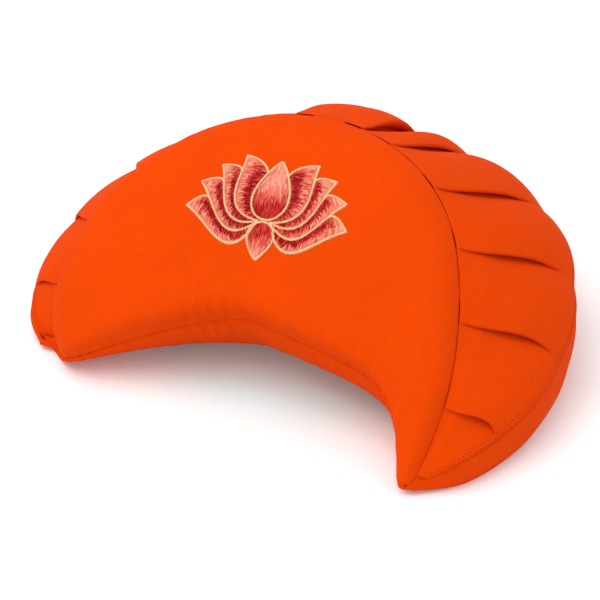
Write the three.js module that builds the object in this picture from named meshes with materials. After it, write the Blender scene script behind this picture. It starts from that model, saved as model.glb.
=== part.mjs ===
// Crescent meditation cushion: one filled body, a band of knife pleats round the convex side,
// a double-stitched lap strip on the band's lower hem and a raised lotus of ten petals on the face.
// Millimetres, +Z up. X runs along the crescent from horn tip to horn tip, the bay opens towards -Y.
import * as THREE from 'three';

// ---- driving dimensions, millimetres and degrees ----
const FACE = {
  seamRadius: 170,      // plan radius of the convex seam
  hornAngle: 16,        // how far the horns pass the half circle, each side
  depthScale: 0.9,      // the tilted face is a little shallower than a full circle
  tilt: 40,             // the face rises from the horns to the back
  hornHeight: 12,       // height of the seams at the horn tips
  shoulderRise: 10,     // extra height of the convex seam over the shoulders
  rightDraw: 5,         // the seam is drawn in this much on the right
  rightDrawAt: 0.65,    // round this station, of -1 to 1 from horn to horn
  rightDrawWidth: 0.2,
  crown: 30,            // fullness of the face above its two seams
  crownPower: 0.6,      // under 1 is plump right up to the seams
  overhang: 10,         // how far the face rolls out over the bay
};
const BAY = {
  depth: 75,            // how far the concave seam bows back from the line between the horns
  leftPower: 1.4,       // 1 is a straight run to the left horn, 2 a round one
  rightSlope: 0.25,     // the right side slopes this share of the depth, then turns a corner
  rightPower: 8,        // more is a squarer corner
  inset: 10,            // the seam stops this far inside each horn, which leaves it blunt
};
const BAND = {
  reach: 88,            // how far the band bulges beyond the seam, at the back
  reachPower: 0.7,
  lean: 40,             // the back of the band leans out this much more
  leanPower: 0.5,
  rightSwell: 0.15,     // the right side is this much fuller than the middle, the left less
  sideSlack: 0.1,       // both sides are this much slacker than the middle
  hornSwell: 0.4,       // and both horns are this much fuller
  hornPower: 10,
  shoulderSwell: 10,    // and the right shoulder swells by this
  shoulderAt: 0.3,
  shoulderWidth: 0.2,
  bulgeHeight: 55,      // height of the widest line, at the back
  bulgePower: 1,
  dropAngle: 35,        // the band leaves the seam this far below level
  rightHornReach: 2,    // what is left of the bulge at each horn tip
  leftHornReach: 18,
};
const BASE = { tuckUnder: 10, frontInset: 0.35, hornLift: 40, hornLiftPower: 0.7 };
const LEFT_HORN = { shorter: 38, power: 5 };

const CLOTH = 2.5;      // pleated band, two thicknesses of cotton with their ease
const GAP = 0.3;        // clearance between two pieces
const SEAM_DIP = CLOTH + GAP;   // the sewn channel along each seam
const DIP_WIDTH = 9;

// Knife pleats in pairs: one pair close to the middle, the others evenly spaced out to the horns.
// Stations run from -1 to 1 along the band, lift is how far a fold stands out, and reach is where
// along the band's depth it has opened out.
const FOLDS = {
  pairs: 6, middle: 0.09, second: 0.18, spacing: 0.17,
  middleLift: 13, lift: 7, reach: 0.6, reachStep: 0.05,
};
const PLEATS = Array.from({ length: FOLDS.pairs }, (_, k) => {
  const at = k ? FOLDS.second + FOLDS.spacing * (k - 1) : FOLDS.middle;
  const lift = k ? FOLDS.lift : FOLDS.middleLift;
  return { left: -at, right: at, lift, reach: FOLDS.reach + FOLDS.reachStep * k };
});
const LEFT_LIFT = 0.7;          // the outer folds on the left stand out this much as far
// Swell of the cloth between two folds: fuller on the right, and less towards the horns.
const PUFF = { middle: 8, left: 3, right: 7, fade: 0.5 };
const HORN_PUFF = 2;            // swell between the last fold and the horn tip
const FOLD_STEP = 0.011;        // width of a fold's drop, in stations
const PUFF_END = 0.9;           // the swell dies out at this depth of the band
const BAND_END = 0.99;          // the band stops just short of the horn tips
const LOWER_SKIN = CLOTH - 0.2; // the plain cloth below the hem lies level with the band

// The band's hem: its depth along the band, and how it runs up to the horn tips.
const HEM = { depth: 0.84, rise: 0.3, risePower: 12 };
const LAP = { width: 8, most: 0.2, thick: 1.6, end: 0.97 };

// The lotus is a plain one of ten petals in its own flat coordinates: X along the crescent, Y up the
// slope of the face, from the foot where its petals meet. It is stitched on with a slight turn, in degrees.
const LOTUS = { x: -5, rise: 0.4, turn: 5, thick: 1.2, spacing: 0.7, rings: 9 };
const BUD = { height: 50, halfWidth: 15, belly: 0.6, foot: 0 };
const DROP_PETAL = { height: 25, halfWidth: 11, belly: 0.75, foot: -1.5 };
// The side petals open like a fan: each pair turns by one step more and is a little longer.
const FAN = { pairs: 4, firstTurn: 30, turnStep: 20, firstLength: 60, lengthStep: 2 };
// One shape serves them all. A handle is turned from the petal's own line, in degrees, at a share of
// its length. The lower edge passes two handles from the foot to the tip. The upper edge parts from
// the petal inside it at `leave` and rounds the crest on its way to the tip.
const SIDE_PETAL = {
  low: { turn: 60, share: 0.7 },
  side: { turn: 10, share: 0.7 },
  crest: { turn: -15, share: 0.85 },
  leave: 0.75,
};
const PETAL_FOOT = { x: 5, y: -1.5 };
const PARTING = 0.68;   // where along its upper edge a petal leaves its neighbour

const ORANGE = 0xf24a02;
const PINK = 0xe0605a;

// ---- small vector helpers ----
const rad = THREE.MathUtils.degToRad;
const vec = (x, y, z) => new THREE.Vector3(x, y, z);
const mix = (a, b, t) => a.clone().lerp(b, t);
const level = (from, to) => vec(to.x - from.x, to.y - from.y, 0);
const smooth = (x) => THREE.MathUtils.smoothstep(x, 0, 1);

// ---- the two seams ----
const HORN_Y = -FACE.seamRadius * Math.sin(rad(FACE.hornAngle));
const HORN_X = FACE.seamRadius * Math.cos(rad(FACE.hornAngle));
const bearing = (s) => Math.PI / 2 - s * (Math.PI / 2 + rad(FACE.hornAngle));
const fullness = (s) => Math.max(1 - s * s, 0);

/** A plan point on the tilted plane of the face, which passes through both horn tips. */
function onFacePlane(x, y) {
  const back = (y - HORN_Y) * FACE.depthScale;
  return vec(x, HORN_Y + back, FACE.hornHeight + back * Math.tan(rad(FACE.tilt)));
}

/** The convex seam: a circle in plan, raised a little over the shoulders. */
function outerSeam(s) {
  const a = bearing(s);
  const point = onFacePlane(FACE.seamRadius * Math.cos(a), FACE.seamRadius * Math.sin(a));
  const g = fullness(s);
  point.z += FACE.shoulderRise * 4 * g * (1 - g);
  point.x -= FACE.rightDraw * Math.exp(-(((s - FACE.rightDrawAt) / FACE.rightDrawWidth) ** 2));
  return point;
}

/** The concave seam: nearly straight on the left, a gentle slope and a square corner on the right. */
function innerSeam(s) {
  const span = 0.9 * Math.PI / 2;
  const across = Math.sin(span * s) / Math.sin(span);
  const left = Math.max(-across, 0);
  const right = Math.max(across, 0);
  const corner = (1 - BAY.rightSlope) * right ** BAY.rightPower;
  const bow = BAY.depth * (1 - left ** BAY.leftPower - BAY.rightSlope * right - corner);
  return onFacePlane((HORN_X - BAY.inset) * across, HORN_Y - BAY.inset / 2 + bow);
}

const MID_WIDTH = outerSeam(0).distanceTo(innerSeam(0));

// ---- the body's cross-section at station s, in five zones ----
/** The face from the concave seam (v = 0) to the convex seam (v = 1). */
function facePoint(s, v) {
  const inner = innerSeam(s);
  const outer = outerSeam(s);
  const share = inner.distanceTo(outer) / MID_WIDTH;
  const rise = Math.max(4 * v * (1 - v), 0) ** FACE.crownPower * FACE.crown * share ** 0.8;
  const roll = Math.exp(-(((v - 0.06) / 0.1) ** 2)) * (1 - Math.exp(-((v / 0.04) ** 2)));
  const up = vec(0, -Math.sin(rad(FACE.tilt)), Math.cos(rad(FACE.tilt)));
  const outwards = level(outer, inner).normalize();
  const point = mix(inner, outer, v).addScaledVector(up, rise);
  return point.addScaledVector(outwards, FACE.overhang * roll * share);
}

/** A plan offset of the band's widest line from the convex seam. */
function bulge(s) {
  const g = fullness(s);
  const a = bearing(s);
  const uneven = 1 + BAND.rightSwell * s - BAND.sideSlack * s * s + BAND.hornSwell * s ** BAND.hornPower;
  const shoulder = BAND.shoulderSwell * Math.exp(-(((s - BAND.shoulderAt) / BAND.shoulderWidth) ** 2));
  const horn = s < 0 ? BAND.leftHornReach : BAND.rightHornReach;
  const reach = horn + (BAND.reach - horn) * uneven * g ** BAND.reachPower + shoulder;
  return vec(reach * Math.cos(a), reach * Math.sin(a) + BAND.lean * g ** BAND.leanPower, 0);
}

function widestLine(s) {
  const a = bearing(s);
  const z = FACE.hornHeight + (BAND.bulgeHeight - FACE.hornHeight) * fullness(s) ** BAND.bulgePower;
  return vec(FACE.seamRadius * Math.cos(a), FACE.seamRadius * Math.sin(a), z).add(bulge(s));
}

/** Height of the underside: flat on the ground, lifting at the very tips of the horns. */
function underside(s) {
  const lift = (FACE.hornHeight + BASE.hornLift) * fullness(s) ** BASE.hornLiftPower;
  return Math.max(0, FACE.hornHeight - lift) * 0.4;
}

/** Where the base meets the ground, at the back (side 0) and towards the bay (side 1). */
function groundEdge(s, side) {
  const g = fullness(s) ** BAND.reachPower;
  const a = bearing(s);
  const back = widestLine(s);
  back.x -= BASE.tuckUnder * g * Math.cos(a);
  back.y -= BASE.tuckUnder * g * Math.sin(a);
  const inner = innerSeam(s);
  const plan = vec(inner.x, HORN_Y + (inner.y - HORN_Y) / FACE.depthScale, 0);
  const point = side === 0 ? back : mix(plan, back, BASE.frontInset);
  point.z = underside(s);
  return point;
}

function bend(from, leave, arrive, to, t) {
  const k = 1 - t;
  return from.clone().multiplyScalar(k ** 3)
    .addScaledVector(mix(from, from.clone().add(leave), 1), 3 * k * k * t)
    .addScaledVector(to.clone().sub(arrive), 3 * k * t * t)
    .addScaledVector(to, t ** 3);
}

/** The pleated side from the convex seam (w = 0) to the widest line (w = 1). */
function bandPoint(s, w) {
  const top = outerSeam(s);
  const wide = widestLine(s);
  const out = level(top, wide);
  const drop = rad(BAND.dropAngle);
  const leave = out.clone().multiplyScalar(0.6 * Math.cos(drop));
  leave.z = -0.6 * Math.sin(drop) * out.length();
  const arrive = vec(0, 0, -0.55 * Math.max(top.z - wide.z, 1));
  return bend(top, leave, arrive, wide, w);
}

/** From the widest line down and under to the ground. */
function lowerPoint(s, w) {
  const wide = widestLine(s);
  const ground = groundEdge(s, 0);
  const leave = vec(0, 0, -0.55 * (wide.z - ground.z));
  return bend(wide, leave, level(wide, ground).multiplyScalar(0.55), ground, w);
}

/** From the ground at the bay up to the concave seam. */
function frontPoint(s, w) {
  const ground = groundEdge(s, 1);
  const seam = innerSeam(s);
  const leave = level(ground, seam).multiplyScalar(0.5);
  return bend(ground, leave, vec(0, 0, 0.4 * (seam.z - ground.z)), seam, w);
}

const ZONES = [
  facePoint,
  bandPoint,
  lowerPoint,
  (s, w) => mix(groundEdge(s, 0), groundEdge(s, 1), w),
  frontPoint,
];

/** The left horn is a little shorter. */
function shortenLeftHorn(point, s) {
  point.y += LEFT_HORN.shorter * Math.max(-s, 0) ** LEFT_HORN.power;
  return point;
}

function skin(zone, s, w) {
  return shortenLeftHorn(ZONES[zone](s, w), s);
}

/** Outward direction of the smooth skin, from two small steps along it. */
function outward(zone, s, w) {
  const step = 0.004;
  const s0 = THREE.MathUtils.clamp(s, -1 + 2 * step, 1 - 2 * step);
  const w0 = THREE.MathUtils.clamp(w, step, 1 - step);
  const along = skin(zone, s0 + step, w0).sub(skin(zone, s0 - step, w0));
  const across = skin(zone, s0, w0 + step).sub(skin(zone, s0, w0 - step));
  return across.cross(along).normalize().negate();
}

// ---- pleats ----
/** How far a fold stands out at depth w: closed at the seam, open half way, gone at its reach. */
function foldOpening(w, reach) {
  const x = w / reach;
  return x >= 1 ? 0 : (0.35 + 0.65 * smooth(x / 0.4)) * (1 - smooth((x - 0.45) / 0.55));
}

/** How far the cloth swells between two folds near station s. */
const puffHeight = (s) => (s < 0 ? PUFF.left : PUFF.right) * (1 - PUFF.fade * Math.abs(s));

/** Relief of the band: each puff rises to the fold that faces the horn, then drops sharply. */
function pleatRelief(s, w) {
  const side = s < 0 ? 'left' : 'right';
  const at = Math.abs(s);
  const stops = PLEATS.map((row) => Math.abs(row[side]));
  const next = stops.findIndex((stop) => at <= stop);
  const swell = Math.sin(Math.PI * Math.min(w / PUFF_END, 1)) ** 0.7 + 0.25 * w;
  if (next < 0) {
    const x = (at - stops.at(-1)) / (1 - stops.at(-1));
    return HORN_PUFF * swell * 4 * x * (1 - x);
  }
  const row = PLEATS[next];
  const inner = next === 0 ? 0 : stops[next - 1];
  const x = (at - inner) / (stops[next] - inner);
  const share = side === 'left' && next > 0 ? LEFT_LIFT : 1;
  const fold = share * row.lift * foldOpening(w, row.reach);
  if (next > 0) return fold * x ** 1.4 + puffHeight(s) * swell * 4 * x * (1 - x);
  return fold * (0.85 + 0.15 * x) + PUFF.middle * swell * (1 - x * x) * 0.6;
}

/** Stations along the cushion: a pair at each fold, a few between, closer at the horns. */
function stations() {
  const list = [];
  for (const [side, sign] of [['left', -1], ['right', 1]]) {
    let from = 0;
    PLEATS.forEach((row, i) => {
      const fold = Math.abs(row[side]);
      const count = i === 1 ? 2 : 3;
      for (let k = 1; k <= count; k++) list.push(sign * (from + (fold - from) * (k / (count + 0.6))));
      list.push(sign * fold, sign * (fold + FOLD_STEP));
      from = fold + FOLD_STEP;
    });
    for (const x of [0.25, 0.5, 0.72, 0.88, 1]) list.push(sign * (from + (1 - from) * x));
  }
  list.push(0);
  return list.sort((a, b) => a - b);
}

const STATIONS = stations();
const stationsWithin = (end) => STATIONS.filter((s) => Math.abs(s) < end);

// ---- closed meshes from rings of points ----
/**
 * A closed skin through rings of equal length; each end is closed by a fan or by a strip. The
 * returning half of a sheet splits its quads along the same diagonals as the outgoing half.
 */
function loft(rings, endCap) {
  const m = rings[0].length;
  const positions = rings.flat().flatMap((p) => [p.x, p.y, p.z]);
  const index = [];
  for (let i = 0; i < rings.length - 1; i++) {
    for (let j = 0; j < m; j++) {
      const a = i * m + j;
      const b = i * m + (j + 1) % m;
      const returning = endCap === 'strip' && j >= m / 2;
      if (returning) index.push(a, a + m, b, b, a + m, b + m);
      else index.push(a, b + m, b, a, a + m, b + m);
    }
  }
  for (const [start, flip] of [[0, false], [(rings.length - 1) * m, true]]) {
    const face = (a, b, c) => index.push(...(flip ? [a, c, b] : [a, b, c]));
    if (endCap === 'fan') {
      const centre = positions.length / 3;
      const ring = rings[start / m];
      const mean = ring.reduce((sum, p) => sum.add(p), vec(0, 0, 0)).divideScalar(m);
      positions.push(mean.x, mean.y, mean.z);
      for (let j = 0; j < m; j++) face(start + j, start + (j + 1) % m, centre);
    } else {
      for (let j = 0; j < m / 2 - 1; j++) {
        const [a, b, c, d] = [j, j + 1, m - 2 - j, m - 1 - j].map((k) => start + k);
        face(a, b, c);
        face(a, c, d);
      }
    }
  }
  const geometry = new THREE.BufferGeometry();
  geometry.setAttribute('position', new THREE.Float32BufferAttribute(positions, 3));
  geometry.setIndex(index);
  geometry.computeVertexNormals();
  return geometry;
}

/** Outer points in order, then the inner ones back again: the ring of a sheet. */
const sheetRing = (outer, inner) => [...outer, ...inner.slice().reverse()];

// ---- the cushion body ----
const FACE_ROWS = [0, 0.03, 0.08, 0.17, 0.25, 0.35, 0.5, 0.68, 0.83, 0.92, 0.97];
// Rows down the band as shares of the way to the lap strip, then three under the strip, then two
// where the plain cloth begins.
const BAND_SHARES = [0, 0.07, 0.18, 0.35, 0.53, 0.72, 0.88];
const BELOW_HEM = [0.02, 0.045];
const LOWER_ROWS = [0, 0.3, 0.55, 0.78];
const BASE_ROWS = [0, 0.5];
const FRONT_ROWS = [0, 0.3, 0.6, 0.85];

/** Depth of the hem along the band: level round the back, running up to the horn tips. */
function hemDepth(s) {
  return HEM.depth - HEM.rise * Math.abs(s) ** HEM.risePower;
}

/** Depths of the lap strip's upper edge, middle and lower edge; the last is the band's hem. */
function lapRows(s) {
  const hem = hemDepth(s);
  const bandLength = 1.15 * outerSeam(s).distanceTo(widestLine(s));
  const width = Math.min(LAP.width / bandLength, LAP.most);
  return [hem - width, hem - width / 2, hem];
}

function bandRows(s) {
  const strip = lapRows(s);
  return [...BAND_SHARES.map((share) => share * strip[0]), ...strip];
}

/** How far the body's skin stands off the smooth form in each zone. */
function bodyOffset(zone, s, w) {
  if (zone === 0) {
    const width = innerSeam(s).distanceTo(outerSeam(s));
    const toSeam = Math.min(w, 1 - w) * width;
    return SEAM_DIP * smooth(toSeam / DIP_WIDTH);
  }
  if (zone === 1) return pleatRelief(s, w) + LOWER_SKIN * smooth((w - hemDepth(s) - BELOW_HEM[0]) / 0.02);
  if (zone === 2) return (pleatRelief(s, 1) + LOWER_SKIN) * (1 - smooth(w * 1.1));
  return 0;
}

function bodyRing(s) {
  const sideRows = [...bandRows(s), ...BELOW_HEM.map((step) => hemDepth(s) + step)];
  const rows = [FACE_ROWS, sideRows, LOWER_ROWS, BASE_ROWS, FRONT_ROWS];
  return rows.flatMap((list, zone) => list.map((w) => {
    const point = skin(zone, s, w);
    const offset = bodyOffset(zone, s, w) * smooth((1 - Math.abs(s)) / 0.04);
    if (offset > 0) point.addScaledVector(outward(zone, s, w), offset);
    return point;
  }));
}

function cushionBody() {
  return loft(STATIONS.map(bodyRing), 'fan');
}

// ---- the pleated band ----
/** A point standing off the band's own underside by the given height. */
function overBand(s, w, height) {
  const offset = pleatRelief(s, w) * smooth((1 - Math.abs(s)) / 0.04) + height;
  return skin(1, s, w).addScaledVector(outward(1, s, w), offset);
}

function pleatedBand() {
  const rings = stationsWithin(BAND_END).map((s) => sheetRing(
    bandRows(s).map((w) => overBand(s, w, GAP + CLOTH)),
    bandRows(s).map((w) => overBand(s, w, GAP)),
  ));
  return loft(rings, 'strip');
}

// ---- the lap strip over the band's hem ----
function lapStrip() {
  const under = GAP * 2 + CLOTH;
  const rings = stationsWithin(LAP.end).map((s) => sheetRing(
    lapRows(s).map((w) => overBand(s, w, under + LAP.thick)),
    lapRows(s).map((w) => overBand(s, w, under)),
  ));
  return loft(rings, 'strip');
}

// ---- the lotus ----
const flat = (x, y) => new THREE.Vector2(x, y);

/** A point on the face from motif coordinates: a along X, b up the slope, h above the cloth. */
function onLotusGround(a, b, h) {
  const foot = facePoint(0, LOTUS.rise);
  const turned = flat(a, b).rotateAround(flat(0, 0), rad(LOTUS.turn));
  const targetX = LOTUS.x + turned.x;
  const targetY = foot.y + turned.y * Math.cos(rad(FACE.tilt));
  let s = targetX / 250;
  let v = LOTUS.rise + turned.y / MID_WIDTH;
  const step = 0.001;
  for (let turn = 0; turn < 12; turn++) {
    const here = facePoint(s, v);
    const alongS = facePoint(s + step, v).sub(here).divideScalar(step);
    const alongV = facePoint(s, v + step).sub(here).divideScalar(step);
    const det = alongS.x * alongV.y - alongS.y * alongV.x;
    const dx = targetX - here.x;
    const dy = targetY - here.y;
    s += (dx * alongV.y - dy * alongV.x) / det;
    v += (dy * alongS.x - dx * alongS.y) / det;
  }
  return skin(0, s, v).addScaledVector(outward(0, s, v), SEAM_DIP + h);
}

/** Half width of an upright petal at height u from 0 to 1: round below, pointed above. */
function uprightEdge(size, u) {
  const half = size.halfWidth * Math.sin(Math.PI * Math.max(u, 0) ** size.belly) ** 0.8;
  return flat(half, size.foot + size.height * u);
}

/** A point of the motif: turned from straight up, in degrees, at a distance from the foot. */
const polar = (turn, distance) => flat(distance * Math.sin(rad(turn)), distance * Math.cos(rad(turn)));

/** The tip of side petal k and the handles of its two edges. */
function sidePetal(k) {
  const turn = FAN.firstTurn + FAN.turnStep * k;
  const long = FAN.firstLength + FAN.lengthStep * k;
  const [low, side, crest] = [SIDE_PETAL.low, SIDE_PETAL.side, SIDE_PETAL.crest]
    .map((handle) => polar(turn + handle.turn, long * handle.share));
  return { tip: polar(turn, long), low, side, crest };
}

/** The lower edge of side petal k, from its foot to its tip; k = -1 is the side of the bud. */
function lowerEdge(k, u) {
  if (k < 0) return uprightEdge(BUD, u);
  const { tip, low, side } = sidePetal(k);
  return new THREE.CubicBezierCurve(flat(PETAL_FOOT.x, PETAL_FOOT.y), low, side, tip).getPoint(u);
}

/** The upper edge of side petal k: up the petal inside it, then over the crest to the tip. */
function upperEdge(k, u) {
  const { leave } = SIDE_PETAL;
  if (u <= PARTING) return lowerEdge(k - 1, leave * u / PARTING);
  const { crest, tip } = sidePetal(k);
  const over = new THREE.QuadraticBezierCurve(lowerEdge(k - 1, leave), crest, tip);
  return over.getPoint((u - PARTING) / (1 - PARTING));
}

/** A raised pad between two edges from u = start to the tip, drawn in by the spacing. */
function petalPad(lower, upper, start, mirror) {
  const rings = [];
  for (let i = 0; i < LOTUS.rings; i++) {
    const swing = (1 - Math.cos(Math.PI * i / (LOTUS.rings - 1))) / 2;
    const u = start + (0.975 - start) * swing;
    const a = lower(u);
    const b = upper(u);
    const inset = Math.min(LOTUS.spacing / a.distanceTo(b), 0.4);
    const across = [inset, 0.35, 0.65, 1 - inset].map((q) => a.clone().lerp(b, q));
    const edgeHeight = GAP + 0.6 * LOTUS.thick;
    const top = across.map((p, q) => (q % 3 ? GAP + LOTUS.thick : edgeHeight));
    rings.push(sheetRing(
      across.map((p, q) => onLotusGround(mirror * p.x, p.y, top[q])),
      across.map((p) => onLotusGround(mirror * p.x, p.y, GAP)),
    ));
  }
  return loft(mirror > 0 ? rings : rings.reverse(), 'strip');
}

/** An upright petal, symmetric about the motif's middle; way is 1 upwards and -1 downwards. */
function uprightPetal(size, way) {
  const right = (u) => uprightEdge(size, u).multiply(flat(1, way));
  const left = (u) => uprightEdge(size, u).multiply(flat(-1, way));
  return petalPad(way > 0 ? right : left, way > 0 ? left : right, 0.02, 1);
}

const lotusPetals = {
  lotus_bud: uprightPetal(BUD, 1),
  lotus_drop_petal: uprightPetal({ ...DROP_PETAL, foot: -DROP_PETAL.foot }, -1),
};
for (let k = 0; k < FAN.pairs; k++) {
  for (const [side, mirror] of [['right', 1], ['left', -1]]) {
    const pad = petalPad((u) => lowerEdge(k, u), (u) => upperEdge(k, u), 0.12, mirror);
    lotusPetals[`lotus_${side}_petal_${k + 1}`] = pad;
  }
}

// ---- assembly ----
const cotton = { color: ORANGE, roughness: 0.9, metalness: 0 };
const thread = { color: PINK, roughness: 0.6, metalness: 0 };
const cushion = new THREE.Group();

function addPiece(name, geometry, finish) {
  const mesh = new THREE.Mesh(geometry, new THREE.MeshStandardMaterial(finish));
  mesh.name = name;
  cushion.add(mesh);
}

addPiece('cushion_body', cushionBody(), cotton);
addPiece('pleated_band', pleatedBand(), cotton);
addPiece('lap_strip', lapStrip(), cotton);
for (const [name, geometry] of Object.entries(lotusPetals)) addPiece(name, geometry, thread);

// The origin is under the middle of the whole cushion, on the ground.
const extent = new THREE.Box3().setFromObject(cushion);
const middle = extent.getCenter(new THREE.Vector3());
cushion.position.set(-middle.x, -middle.y, -extent.min.z);

export default cushion;
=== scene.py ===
"""Crescent meditation cushion of orange cotton: a filled body, a band of knife pleats round its
convex side, a double-stitched lap strip on the band's hem and a lotus stitched on the face.

Shapes are worked out in millimetres in the part's own layout, where the crescent is symmetric about
x = 0 and its bay opens towards -y, and are moved to the frame as they become meshes."""
import math

import bmesh
import bpy
import numpy as np
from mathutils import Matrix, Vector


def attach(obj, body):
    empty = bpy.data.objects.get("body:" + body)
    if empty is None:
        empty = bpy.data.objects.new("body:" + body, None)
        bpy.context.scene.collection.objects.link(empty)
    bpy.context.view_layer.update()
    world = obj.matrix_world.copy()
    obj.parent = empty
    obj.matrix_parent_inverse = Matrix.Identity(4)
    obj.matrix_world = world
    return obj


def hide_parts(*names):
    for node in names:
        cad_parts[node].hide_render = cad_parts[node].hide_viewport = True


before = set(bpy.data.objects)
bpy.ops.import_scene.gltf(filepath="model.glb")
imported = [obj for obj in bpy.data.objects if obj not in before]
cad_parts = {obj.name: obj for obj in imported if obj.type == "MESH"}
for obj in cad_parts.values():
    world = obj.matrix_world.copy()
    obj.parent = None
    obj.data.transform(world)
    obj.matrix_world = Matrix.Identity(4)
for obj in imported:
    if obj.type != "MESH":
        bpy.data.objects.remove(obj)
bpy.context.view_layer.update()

# ---- sizes, millimetres and degrees, as in the part ----
MM = 0.001
MIDDLE = np.array([1.726, 125.297, 0.0])     # plan middle of the whole cushion
SEAM_RADIUS, HORN_ANGLE, DEPTH_SCALE, TILT = 170.0, 16.0, 0.9, 40.0
HORN_HEIGHT, SHOULDER_RISE = 12.0, 10.0
RIGHT_DRAW, RIGHT_DRAW_AT, RIGHT_DRAW_WIDTH = 5.0, 0.65, 0.2
BAY_DEPTH, BAY_LEFT_POWER, BAY_RIGHT_SLOPE, BAY_RIGHT_POWER, BAY_INSET = 75.0, 1.4, 0.25, 8, 10.0
CROWN, CROWN_POWER, OVERHANG = 30.0, 0.6, 10.0
REACH, REACH_POWER, LEAN, LEAN_POWER = 88.0, 0.7, 40.0, 0.5
RIGHT_SWELL, SIDE_SLACK, HORN_SWELL, HORN_SWELL_POWER = 0.15, 0.1, 0.4, 10
SHOULDER_SWELL, SHOULDER_AT, SHOULDER_WIDTH = 10.0, 0.3, 0.2
BULGE_HEIGHT, BULGE_POWER, DROP_ANGLE = 55.0, 1.0, 35.0
RIGHT_HORN_REACH, LEFT_HORN_REACH = 2.0, 18.0
TUCK_UNDER, FRONT_INSET, HORN_LIFT, HORN_LIFT_POWER = 10.0, 0.35, 40.0, 0.7
LEFT_SHORTER, LEFT_SHORTER_POWER = 38.0, 5
BAND_SKIN = 2.8                              # the pleated band's outer side above the smooth form
LOWER_SKIN = 2.3                             # the plain cloth below the hem
HEM_DEPTH, HEM_RISE, HEM_RISE_POWER = 0.84, 0.3, 12
LAP_WIDTH, LAP_MOST, LAP_END, BAND_END = 8.0, 0.2, 0.97, 0.99
PUFF_END, HORN_PUFF = 0.9, 2.0

# Knife pleats in pairs: one close to the middle, the others evenly spaced out to the horns.
FOLD_PAIRS, FOLD_MIDDLE, FOLD_SECOND, FOLD_SPACING = 6, 0.09, 0.18, 0.17
MIDDLE_LIFT, OUTER_LIFT, FIRST_REACH, REACH_STEP = 13, 7, 0.6, 0.05


def pleat(k):
    """Fold pair k: its left and right stations, how far it stands out, and how far down it runs."""
    at = FOLD_SECOND + FOLD_SPACING * (k - 1) if k else FOLD_MIDDLE
    return dict(left=-at, right=at, lift=OUTER_LIFT if k else MIDDLE_LIFT,
                reach=FIRST_REACH + REACH_STEP * k)


PLEATS = [pleat(k) for k in range(FOLD_PAIRS)]
LEFT_LIFT = 0.7        # the folds on the left stand out this much as far
# Swell of the cloth between two folds: in the middle, on each side, and its loss at the horns.
PUFF_MIDDLE, PUFF_LEFT, PUFF_RIGHT, PUFF_FADE = 8.0, 3.0, 7.0, 0.5
# A fold leans to the middle on its way down the band; the ones nearer a horn curve back from it.
FOLD_DRIFT, FOLD_ARCH = -0.04, 0.1


# ---- small vector helpers; the last axis of an array of points is x, y, z ----
def vec(x, y, z):
    return np.stack(np.broadcast_arrays(x, y, z), -1).astype(float)


def smooth(x):
    """0 below 0, 1 above 1, and 3x² - 2x³ between."""
    x = np.clip(x, 0, 1)
    return x * x * (3 - 2 * x)


def length(v):
    return np.linalg.norm(v, axis=-1)


def unit(v):
    return v / np.maximum(length(v), 1e-9)[..., None]


def level(a, b):
    return (b - a) * (1.0, 1.0, 0.0)


def mix(a, b, t):
    return a + (b - a) * np.asarray(t)[..., None]


def bend(start, leave, arrive, end, t):
    """A cubic curve from start to end; leave and arrive are its handles."""
    t = np.asarray(t)[..., None]
    k = 1 - t
    return k**3 * start + 3 * k * k * t * (start + leave) + 3 * k * t * t * (end - arrive) + t**3 * end


# ---- the smooth form: s runs from -1 at the left horn to 1 at the right one ----
HORN_Y = -SEAM_RADIUS * math.sin(math.radians(HORN_ANGLE))
HORN_X = SEAM_RADIUS * math.cos(math.radians(HORN_ANGLE))


def fullness(s):
    return np.maximum(1 - s * s, 0)


def bearing(s):
    return np.pi / 2 - s * (np.pi / 2 + math.radians(HORN_ANGLE))


def on_face_plane(x, y):
    back = (y - HORN_Y) * DEPTH_SCALE
    return vec(x, HORN_Y + back, HORN_HEIGHT + back * math.tan(math.radians(TILT)))


def outer_seam(s):
    """The convex seam: a circle on the face's plane, raised over the shoulders, drawn in on the right."""
    g = fullness(s)
    seam = on_face_plane(SEAM_RADIUS * np.cos(bearing(s)), SEAM_RADIUS * np.sin(bearing(s)))
    seam[..., 2] += SHOULDER_RISE * 4 * g * (1 - g)
    seam[..., 0] -= RIGHT_DRAW * np.exp(-(((s - RIGHT_DRAW_AT) / RIGHT_DRAW_WIDTH) ** 2))
    return seam


def inner_seam(s):
    """The concave seam between the horns: a straight run on the left, a gentle slope with a square
    corner on the right. The bow is depth times (1 - fall), the fall a power of |across|."""
    span = 0.9 * np.pi / 2
    across = np.sin(span * s) / math.sin(span)
    left, right = np.maximum(-across, 0), np.maximum(across, 0)
    fall = left**BAY_LEFT_POWER + BAY_RIGHT_SLOPE * right + (1 - BAY_RIGHT_SLOPE) * right**BAY_RIGHT_POWER
    bow = BAY_DEPTH * (1 - fall)
    return on_face_plane((HORN_X - BAY_INSET) * across, HORN_Y - BAY_INSET / 2 + bow)


MID_WIDTH = float(length(outer_seam(np.array(0.0)) - inner_seam(np.array(0.0))))


def face_point(s, v):
    """The face: straight from the concave to the convex seam, plus a crown (4v(1-v)) to a power, and
    a roll out over the bay."""
    inner, outer = inner_seam(s), outer_seam(s)
    share = length(outer - inner) / MID_WIDTH
    rise = np.maximum(4 * v * (1 - v), 0) ** CROWN_POWER * CROWN * share**0.8
    roll = np.exp(-(((v - 0.06) / 0.1) ** 2)) * (1 - np.exp(-((v / 0.04) ** 2)))
    up = np.array([0, -math.sin(math.radians(TILT)), math.cos(math.radians(TILT))])
    outwards = unit(level(outer, inner))
    return mix(inner, outer, v) + up * rise[..., None] + outwards * (OVERHANG * roll * share)[..., None]


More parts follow.
